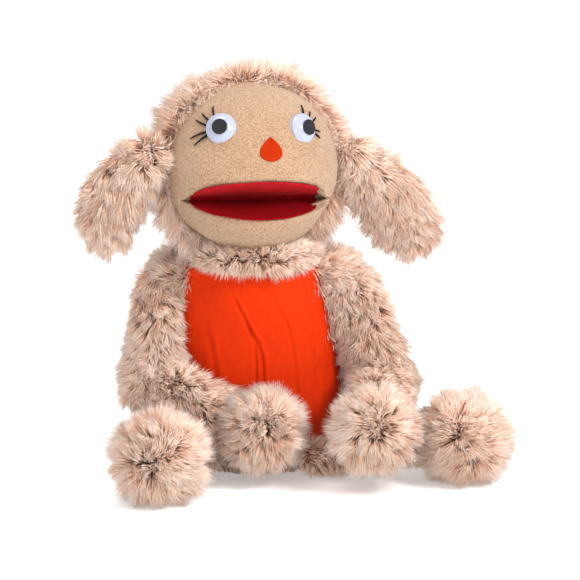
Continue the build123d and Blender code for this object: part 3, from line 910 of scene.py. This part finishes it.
def long_axes(node):
    """A CAD node's middle and its axes, longest first."""
    co = np.array([v.co[:] for v in frame["nodes"][node].data.vertices])
    middle = np.array(box_middle(node))
    _, vectors = np.linalg.eigh(np.cov((co - co.mean(0)).T))
    return middle, vectors[:, ::-1].T


# In mm: half sizes of each ear's skin, longest first, and how far it hangs from the CAD ear's middle
EAR_SKIN = {"right": (45, 25, 9), "left": (53, 27, 9)}
EAR_SHIFT = {"right": (0, 0, -10), "left": (6, 0, -11)}


def ear(side, sign):
    """A floppy fur ear: a flat drop that runs up into a round root beside the hood."""
    node = f"{side}_ear_fur"
    middle, axes = long_axes(node)
    middle = middle + np.array(EAR_SHIFT[side]) * MM
    if axes[0][2] > 0:
        axes[0] = -axes[0]
    tip = axes[0]
    halves = np.array(EAR_SKIN[side]) * MM
    root = from_head(np.array([sign * 104, 0, 8]) * MM)

    def field(p):
        flap = (np.linalg.norm(((p - middle) @ axes.T) / halves, axis=-1) - 1) * halves[2]
        line = middle - root
        share = np.clip((p - root) @ line / (line @ line), 0, 1)
        neck = np.linalg.norm(p - root - share[:, None] * line, axis=-1) - 14 * MM
        return smooth_min(flap, neck, 12 * MM)

    def flow(at, n):
        return tip * 0.55 + np.array([0, 0, -0.1])

    furry(f"{side}_ear_pile", f"{side}_ear", blob(middle, field, 5), "ear", flow, 201 + sign,
          [node, f"{side}_ear_wadding"], lift=0.8)


ear("right", -1)
ear("left", 1)


def collar():
    """The fur ring under the chin."""
    low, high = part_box("collar_fur")
    middle = np.array((low + high) / 2)
    middle[2] += 15 * MM
    wide = (high[0] - low[0]) / 2 - 19 * MM
    turns, tilts = 72, 16
    turn = np.arange(turns) * 2 * math.pi / turns
    tilt = np.arange(tilts) * 2 * math.pi / tilts
    t, u = np.meshgrid(turn, tilt, indexing="ij")
    radius = wide + 7 * MM * np.cos(u)
    ring = np.stack([radius * np.cos(t), radius * np.sin(t), 5 * MM * np.sin(u)], axis=-1)
    points = ring.reshape(-1, 3) + middle
    index = np.arange(turns * tilts).reshape(turns, tilts)
    right, up = np.roll(index, -1, 0), np.roll(index, -1, 1)
    faces = np.stack([index, right, np.roll(right, -1, 1), up], axis=-1).reshape(-1, 4)

    def flow(at, n):
        outward = unit((at - middle) * [1, 1, 0])
        return outward * 0.7 + np.array([0, 0, 0.25]) * step(n[:, 2:3], -0.2, 0.6)

    furry("collar_pile", "collar", (points, faces), "collar", flow, 301, ["collar_fur"],
          lift=0.8, clump=0.22, wild=0.45)


collar()


# ---------------------------------------------------------------- torso
def torso_point(turn, z, inset=0.0):
    """The torso's surface: turn is measured from straight ahead, towards the puppet's left."""
    half_w = np.interp(z, TORSO_Z, TORSO_HALF_W) - inset
    half_d = np.interp(z, TORSO_Z, TORSO_HALF_D) - inset
    middle = np.interp(z, TORSO_Z, TORSO_Y)
    x = np.interp(z, TORSO_Z, TORSO_X) + half_w * np.sin(turn)
    return np.stack([x, middle - half_d * np.cos(turn), z], axis=-1)


FRONT = np.array([0, -1, 0])
BACK = -FRONT
BELLY_TURN = math.radians(76)
# Each crease: places (across, height) along it, then its depth and half width, all in mm
CREASES = (
    (((-26, 190), (-8, 155), (-1, 135), (1, 70)), 1.5, 1.7),
    (((-15, 165), (1, 138), (6, 118), (8, 62)), 1.7, 1.9),
    (((14, 188), (30, 155), (37, 120), (41, 70)), 0.9, 1.8),
    (((-48, 150), (-40, 110), (-36, 70)), 0.8, 3.0),
    (((56, 150), (60, 110), (58, 60)), 0.8, 3.0),
)


def belly():
    """The orange cotton front: a full round cloth with soft upright creases."""
    across = np.linspace(-BELLY_TURN, BELLY_TURN, 250)
    turn, z = np.meshgrid(across, np.linspace(2.5, 216, 150) * MM, indexing="ij")
    x = torso_point(turn, z)[..., 0]
    fullness = 3.0 * MM * np.sin(np.clip(z / 0.2, 0, 1) * math.pi) * np.cos(turn)
    dent = np.zeros_like(z)
    for path, deep, wide in CREASES:
        line, height = np.array(path[::-1]).T * MM
        off = (x - np.interp(z, height, line)) / (wide * MM)
        fade = step(z, height[0] - 12 * MM, height[0] + 12 * MM)
        fade = fade * (1 - step(z, height[-1] - 18 * MM, height[-1]))
        dent += deep * MM * (np.exp(-off ** 2) - 0.7 * np.exp(-((off - 2.1) ** 2))) * fade
    where = torso_point(turn, z) * [1, 1, 0.35]
    ripple = 0.9 * MM * noise(where, 17 * MM, 61) + 0.35 * MM * noise(where, 6 * MM, 62)
    outer = torso_point(turn, z, -(fullness - dent + ripple))
    inner = torso_point(turn, z, 3 * MM)
    points, faces = grid_shell(outer, inner)
    faces = turned(points, faces, FRONT)
    piece = make_mesh("belly_cloth", points, [faces])
    place(piece, ORANGE, "orange_cotton", "torso", "belly_panel", "belly_wadding")


belly()


def torso_back():
    """The fur over the torso's back and sides, closing in over the shoulders to the neck."""
    z = np.concatenate([np.linspace(2.5, 204, 50), [208, 211, 212.5]]) * MM
    turn = np.linspace(BELLY_TURN - 0.12, 2 * math.pi - BELLY_TURN + 0.12, 90)
    t, h = np.meshgrid(turn, z, indexing="ij")
    close = np.concatenate([np.zeros(50), [4, 14, 27]]) * MM
    outer = torso_point(t, h, 4.5 * MM + close[None])
    inner = torso_point(t, h - 1.5 * MM * (close[None] > 0), 7 * MM + close[None])
    points, faces = grid_shell(outer, inner)
    faces = turned(points, faces, BACK)
    middle = np.array([0, -8 * MM, 0])

    def keep(at):
        out = np.linalg.norm((at - middle)[..., :2] / [0.072, 0.05], axis=-1) > 0.86
        return (out | (at[..., 1] > 8 * MM)).astype(float)

    def flow(at, n):
        return np.array([0, 0, -0.6]) + n * 0.2

    def stretch(at):
        return 1 - 0.4 * step(at[..., 1], 15 * MM, 50 * MM)

    furry("torso_pile", "torso", (points, faces), "torso", flow, 401, ["torso_fur"],
          keep=keep, lift=0.9, width=1.15 * MM, stretch=stretch)


torso_back()


def shoulders():
    """The fur mounds where the arms' tops meet the neck."""
    for side, sign in (("right", -1), ("left", 1)):
        middle = joint_at(f"{side}_shoulder") + np.array([sign * -24, 0, 19]) * MM

        def flow(at, n, sign=sign):
            return np.array([sign * 0.45, -0.1, 0.1])

        directions, faces = sphere_mesh(4)
        skin = (middle + directions * np.array([19, 17, 15]) * MM, faces)
        furry(f"{side}_shoulder_pile", "torso", skin, "shoulder", flow, 411 + sign, [])


shoulders()


def lap():
    """The fur strip along the bottom of the belly, in the lap."""
    turn, z = np.meshgrid(np.linspace(-1.25, 1.25, 60), np.linspace(3, 20, 8) * MM, indexing="ij")
    points, faces = grid_shell(torso_point(turn, z, -2 * MM), torso_point(turn, z, 2 * MM))
    faces = turned(points, faces, FRONT)

    def flow(at, n):
        return np.array([0, -0.2, -0.3])

    furry("lap_pile", "torso", (points, faces), "lap", flow, 421, [])


lap()


def base_cloth():
    """The cloth that closes the torso's underside round the arm opening."""
    turn = np.linspace(0, 2 * math.pi, 121)
    share = np.linspace(0, 1, 12)
    s, t = np.meshgrid(share, turn, indexing="ij")
    rim = torso_point(t, np.zeros_like(t), 4 * MM)
    hem = np.stack([HEM_R * np.sin(t), -HEM_R * np.cos(t), np.zeros_like(t)], axis=-1)
    outer = hem + (rim - hem) * s[..., None]
    top, bottom = outer + [0, 0, 3.4 * MM], outer + [0, 0, 1.0 * MM]
    points, faces = grid_shell(top, bottom)
    piece = make_mesh("base_cloth", points, [faces])
    dress(piece, LINING)
    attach(piece, "torso")


base_cloth()


# ---------------------------------------------------------------- limbs
def capsule(a, b, radius, level=4):
    """A round-ended tube, as a stretched ball."""
    directions, faces = sphere_mesh(level)
    along = unit(b - a)
    far = (directions @ along) > 0
    return np.where(far[:, None], b, a) + directions * radius, faces


def limb_piece(side, part, skin, flow, seed, lift):
    """A limb's fur piece, standing for its CAD fur and stuffing."""
    node = f"{side}_{part}"
    furry(f"{node}_pile", node, skin, part, flow, seed, [f"{node}_fur", f"{node}_stuffing"], lift=lift)


def tube_limb(side, part, a, b, radius, seed):
    """A stretch of arm or leg, its pile combed along it and sagging a little."""
    along = unit(b - a)

    def flow(at, n):
        return along * 0.45 + np.array([0, 0, -0.25])

    limb_piece(side, part, capsule(a, b, radius), flow, seed, 0.95)


def pompon(side, part, centre, radius, seed):
    """A paw or a foot: a ball whose pile stands straight out."""
    def flow(at, n):
        return np.array([0, 0, 0.05]) + n * 0.3

    directions, faces = sphere_mesh(4)
    limb_piece(side, part, (centre + directions * radius, faces), flow, seed, 1.0)


def limbs(side, sign):
    shoulder, elbow, hip = (joint_at(f"{side}_{name}") for name in ("shoulder", "elbow", "hip"))
    paw, foot = box_middle(f"{side}_paw_fur"), box_middle(f"{side}_foot_fur")
    top = shoulder + np.array([-sign * 7, 0, 3]) * MM
    wrist = paw + unit(elbow - paw) * 20 * MM
    ankle = foot + unit(hip - foot) * 24 * MM
    seed = 500 + 50 * sign
    tube_limb(side, "upper_arm", top, elbow, ARM_SKIN_R[side], seed)
    tube_limb(side, "forearm", elbow, wrist, ARM_SKIN_R[side], seed + 1)
    pompon(side, "paw", paw, PAW_SKIN_R, seed + 2)
    tube_limb(side, "leg", hip, ankle, LEG_SKIN_R, seed + 3)
    pompon(side, "foot", foot, FOOT_SKIN_R, seed + 4)


limbs("right", -1)
limbs("left", 1)


# ---------------------------------------------------------------- materials of the CAD pieces that stay
CAD_LOOKS = {
    "eye_dome": WHITE, "pupil": BLACK, "eye_washer": NYLON, "mouth_board": BOARD, "finger_pocket": LINING,
    "thumb_pocket": LINING, "mouth_hinge_tape": LINING, "sleeve_lining": LINING, "sleeve_hem": LINING,
    "neck_sleeve": LINING,
}
for _name, _node in frame["nodes"].items():
    for _ending, _material in CAD_LOOKS.items():
        if _name.endswith(_ending):
            _node.data.materials.clear()
            _node.data.materials.append(_material)


# ---------------------------------------------------------------- floor, light, camera
def stage():
    bpy.ops.mesh.primitive_plane_add(size=30, location=(0, 0, 0))
    floor = bpy.context.object
    floor.name = "floor"
    mat, _, shader = new_material("pale_floor")
    shader.inputs["Base Color"].default_value = (0.92, 0.92, 0.92, 1)
    shader.inputs["Roughness"].default_value = 0.9
    shader.inputs["Specular IOR Level"].default_value = 0.1
    shader.inputs["Emission Color"].default_value = (1, 1, 1, 1)
    shader.inputs["Emission Strength"].default_value = FLOOR_GLOW
    floor.data.materials.append(mat)
    world = bpy.context.scene.world or bpy.data.worlds.new("sky")
    bpy.context.scene.world = world
    world.use_nodes = True
    world.node_tree.nodes["Background"].inputs["Color"].default_value = (1, 1, 1, 1)
    world.node_tree.nodes["Background"].inputs["Strength"].default_value = WORLD_LIGHT
    for name, at, size, power in LIGHTS:
        light = bpy.data.lights.new(name, "AREA")
        light.shape = "DISK"
        light.size = size
        light.energy = power
        lamp = bpy.data.objects.new(name, light)
        bpy.context.scene.collection.objects.link(lamp)
        lamp.location = at
        aim = Vector(AIM) - Vector(at)
        lamp.rotation_euler = aim.to_track_quat("-Z", "Y").to_euler()


AIM = (0.034, -0.012, 0.177)
WORLD_LIGHT = 0.72
FLOOR_GLOW = 0.3
LIGHTS = (
    ("key", (1.2, -1.2, 1.3), 0.7, 31),
    ("top", (-0.4, -0.1, 1.9), 1.2, 16),
    ("fill", (-0.3, -2.4, 0.5), 1.6, 10),
)
CAMERA_DISTANCE = 8.0
CAMERA_RISE = math.radians(13)
PICTURE_WIDTH = 0.58


def camera():
    data = bpy.data.cameras.new("camera")
    data.sensor_width = 36
    data.lens = 36 * CAMERA_DISTANCE / PICTURE_WIDTH
    eye = bpy.data.objects.new("camera", data)
    bpy.context.scene.collection.objects.link(eye)
    back = Vector((0, -math.cos(CAMERA_RISE), math.sin(CAMERA_RISE)))
    eye.location = Vector(AIM) + back * CAMERA_DISTANCE
    eye.rotation_euler = (-back).to_track_quat("-Z", "Y").to_euler()
    bpy.context.scene.camera = eye


stage()
camera()
bpy.context.scene.view_settings.view_transform = "Standard"
